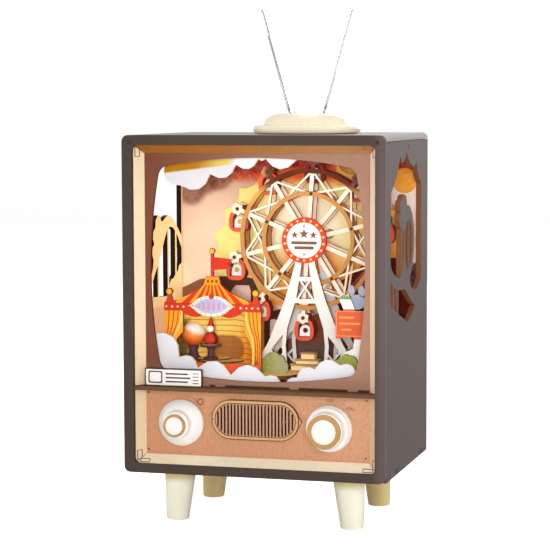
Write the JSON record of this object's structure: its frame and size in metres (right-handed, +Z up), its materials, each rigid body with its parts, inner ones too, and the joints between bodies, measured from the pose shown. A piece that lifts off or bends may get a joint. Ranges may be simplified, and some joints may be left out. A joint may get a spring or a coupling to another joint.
{
  "type": "wooden music box",
  "caption": "Retro television-shaped plywood music box with a turning Ferris wheel scene, two knobs, a speaker grille, splayed feet and telescopic antennas.",
  "frame": {"origin": "centre of the box's footprint on the surface it stands on", "axes": "+X to the right as seen from the front, +Y from the front to the back, +Z up"},
  "size_m": [0.15, 0.1334, 0.2904],
  "materials": {
    "grey_ply": "grey-brown printed plywood with dark laser-cut edges",
    "light_wood": "pale varnished wood",
    "brown_ply": "rose-brown printed plywood",
    "wheel_wood": "wood printed white on its spokes and brown on its rings",
    "gondola_red": "red printed wood with pale outlines",
    "white_ply": "white printed plywood",
    "tent_orange": "printed plywood in orange and yellow stripes",
    "tent_yellow": "yellow printed plywood",
    "sun_yellow": "yellow printed plywood",
    "sky_peach": "plywood with a printed sunset in peach and red",
    "cloud_white": "pale printed plywood",
    "gear_wood": "plain laser-cut plywood",
    "copper_panel": "copper-coloured grained leather cloth on a thin board",
    "pearl_white": "glossy pearl white",
    "ivory": "smooth ivory gloss",
    "chrome": "bright plated metal",
    "steel": "brushed nickel-plated steel",
    "brass": "plain brass",
    "black_plastic": "plain black"
  },
  "bodies": {
    "case": {"antenna_base": "ivory", "back_panel": "grey_ply", "battery_box": "black_plastic", "bezel_bottom": "light_wood", "bezel_left": "light_wood", "bezel_right": "light_wood", "bezel_top": "light_wood", "bottom_panel": "grey_ply", "cloud_left": "cloud_white", "cloud_right": "cloud_white", "cloud_top": "cloud_white", "control_panel": "copper_panel", "foot_front_left": "ivory", "foot_front_right": "ivory", "foot_rear_left": "ivory", "foot_rear_right": "ivory", "front_frame": "grey_ply", "hub_sign": "gondola_red", "left_side_panel": "grey_ply", "light_switch": "black_plastic", "movement_frame": "steel", "music_comb": "steel", "right_side_panel": "grey_ply", "screen_mask": "brown_ply", "shelf": "brown_ply", "sky_panel": "sky_peach", "slide_banner": "gondola_red", "speaker_grille": "light_wood", "sun_panel": "sun_yellow", "tent_back_wall": "tent_yellow", "tent_front": "tent_orange", "top_panel": "grey_ply", "tower_front": "white_ply", "tower_rear": "white_ply"},
    "wheel": {"wheel_front": "wheel_wood", "wheel_rear": "wheel_wood", "wheel_axle": "wheel_wood"},
    "idler": {"idler_gear": "gear_wood"},
    "barrel": {"spring_barrel": "brass"},
    "drum": {"pin_drum": "brass"},
    "key": {"winding_key": "brass"},
    "light_knob": {"light_knob_skirt": "pearl_white", "light_knob_cap": "light_wood"},
    "music_knob": {"music_knob_skirt": "pearl_white", "music_knob_cap": "light_wood", "stop_lever": "brass"},
    "antenna_left": {"antenna_tube_left": "chrome"},
    "antenna_left_rod": {"antenna_rod_left": "chrome"},
    "antenna_right": {"antenna_tube_right": "chrome"},
    "antenna_right_rod": {"antenna_rod_right": "chrome"},
    "gondola_01": {"gondola_01": "gondola_red"},
    "gondola_02": {"gondola_02": "gondola_red"},
    "gondola_03": {"gondola_03": "gondola_red"},
    "gondola_04": {"gondola_04": "gondola_red"},
    "gondola_05": {"gondola_05": "gondola_red"},
    "gondola_06": {"gondola_06": "gondola_red"},
    "gondola_07": {"gondola_07": "gondola_red"},
    "gondola_08": {"gondola_08": "gondola_red"},
    "gondola_09": {"gondola_09": "gondola_red"},
    "gondola_10": {"gondola_10": "gondola_red"}
  },
  "joints": [
    {"name": "wheel_spin", "type": "hinge", "parent": "case", "child": "wheel", "pos_m": [0.0205, -0.01175, 0.1596], "axis": [0, 1, 0], "continuous": true},
    {"name": "gondola_01_swing", "type": "hinge", "parent": "wheel", "child": "gondola_01", "pos_m": [0.02355, -0.01175, 0.2044], "axis": [0, 1, 0], "continuous": true},
    {"name": "gondola_02_swing", "type": "hinge", "parent": "wheel", "child": "gondola_02", "pos_m": [-0.00336, -0.01175, 0.19764], "axis": [0, 1, 0], "continuous": true},
    {"name": "gondola_03_swing", "type": "hinge", "parent": "wheel", "child": "gondola_03", "pos_m": [-0.02116, -0.01175, 0.17635], "axis": [0, 1, 0], "continuous": true},
    {"name": "gondola_04_swing", "type": "hinge", "parent": "wheel", "child": "gondola_04", "pos_m": [-0.02305, -0.01175, 0.14866], "axis": [0, 1, 0], "continuous": true},
    {"name": "gondola_05_swing", "type": "hinge", "parent": "wheel", "child": "gondola_05", "pos_m": [-0.0083, -0.01175, 0.12515], "axis": [0, 1, 0], "continuous": true},
    {"name": "gondola_06_swing", "type": "hinge", "parent": "wheel", "child": "gondola_06", "pos_m": [0.01745, -0.01175, 0.1148], "axis": [0, 1, 0], "continuous": true},
    {"name": "gondola_07_swing", "type": "hinge", "parent": "wheel", "child": "gondola_07", "pos_m": [0.04436, -0.01175, 0.12156], "axis": [0, 1, 0], "continuous": true},
    {"name": "gondola_08_swing", "type": "hinge", "parent": "wheel", "child": "gondola_08", "pos_m": [0.06216, -0.01175, 0.14285], "axis": [0, 1, 0], "continuous": true},
    {"name": "gondola_09_swing", "type": "hinge", "parent": "wheel", "child": "gondola_09", "pos_m": [0.06405, -0.01175, 0.17054], "axis": [0, 1, 0], "continuous": true},
    {"name": "gondola_10_swing", "type": "hinge", "parent": "wheel", "child": "gondola_10", "pos_m": [0.0493, -0.01175, 0.19405], "axis": [0, 1, 0], "continuous": true},
    {"name": "idler_spin", "type": "hinge", "parent": "case", "child": "idler", "pos_m": [0.00414, 0.04275, 0.10013], "axis": [0, 1, 0], "continuous": true},
    {"name": "barrel_spin", "type": "hinge", "parent": "case", "child": "barrel", "pos_m": [-0.008, 0.03075, 0.056], "axis": [0, 1, 0], "continuous": true},
    {"name": "drum_spin", "type": "hinge", "parent": "case", "child": "drum", "pos_m": [0.012, 0.01999, 0.056], "axis": [1, 0, 0], "continuous": true},
    {"name": "key_turn", "type": "hinge", "parent": "case", "child": "key", "pos_m": [-0.008, 0.05275, 0.056], "axis": [0, 1, 0], "continuous": true},
    {"name": "light_knob_turn", "type": "hinge", "parent": "case", "child": "light_knob", "pos_m": [-0.0438, -0.05235, 0.058], "axis": [0, 1, 0], "range_deg": [0, 48]},
    {"name": "music_knob_turn", "type": "hinge", "parent": "case", "child": "music_knob", "pos_m": [0.0418, -0.05235, 0.058], "axis": [0, 1, 0], "range_deg": [0, 48]},
    {"name": "antenna_left_tilt", "type": "hinge", "parent": "case", "child": "antenna_left", "pos_m": [0.0089, -0.00425, 0.2275], "axis": [0, 1, 0], "range_deg": [-29, 15.7]},
    {"name": "antenna_left_slide", "type": "slide", "parent": "antenna_left", "child": "antenna_left_rod", "axis": [-0.2706, 0, 0.9627], "range_m": [-0.0135, 0]},
    {"name": "antenna_right_tilt", "type": "hinge", "parent": "case", "child": "antenna_right", "pos_m": [0.0241, -0.00425, 0.2275], "axis": [0, 1, 0], "range_deg": [-16.2, 29]},
    {"name": "antenna_right_slide", "type": "slide", "parent": "antenna_right", "child": "antenna_right_rod", "axis": [0.279, 0, 0.9603], "range_m": [-0.0165, 0]}
  ],
  "couplings": [
    {"joint": "gondola_01_swing", "follows": "wheel_spin", "ratio": -1},
    {"joint": "gondola_02_swing", "follows": "wheel_spin", "ratio": -1},
    {"joint": "gondola_03_swing", "follows": "wheel_spin", "ratio": -1},
    {"joint": "gondola_04_swing", "follows": "wheel_spin", "ratio": -1},
    {"joint": "gondola_05_swing", "follows": "wheel_spin", "ratio": -1},
    {"joint": "gondola_06_swing", "follows": "wheel_spin", "ratio": -1},
    {"joint": "gondola_07_swing", "follows": "wheel_spin", "ratio": -1},
    {"joint": "gondola_08_swing", "follows": "wheel_spin", "ratio": -1},
    {"joint": "gondola_09_swing", "follows": "wheel_spin", "ratio": -1},
    {"joint": "gondola_10_swing", "follows": "wheel_spin", "ratio": -1},
    {"joint": "idler_spin", "follows": "wheel_spin", "ratio": -0.72222},
    {"joint": "barrel_spin", "follows": "wheel_spin", "ratio": 2.6},
    {"joint": "drum_spin", "follows": "wheel_spin", "ratio": -6.9333}
  ]
}
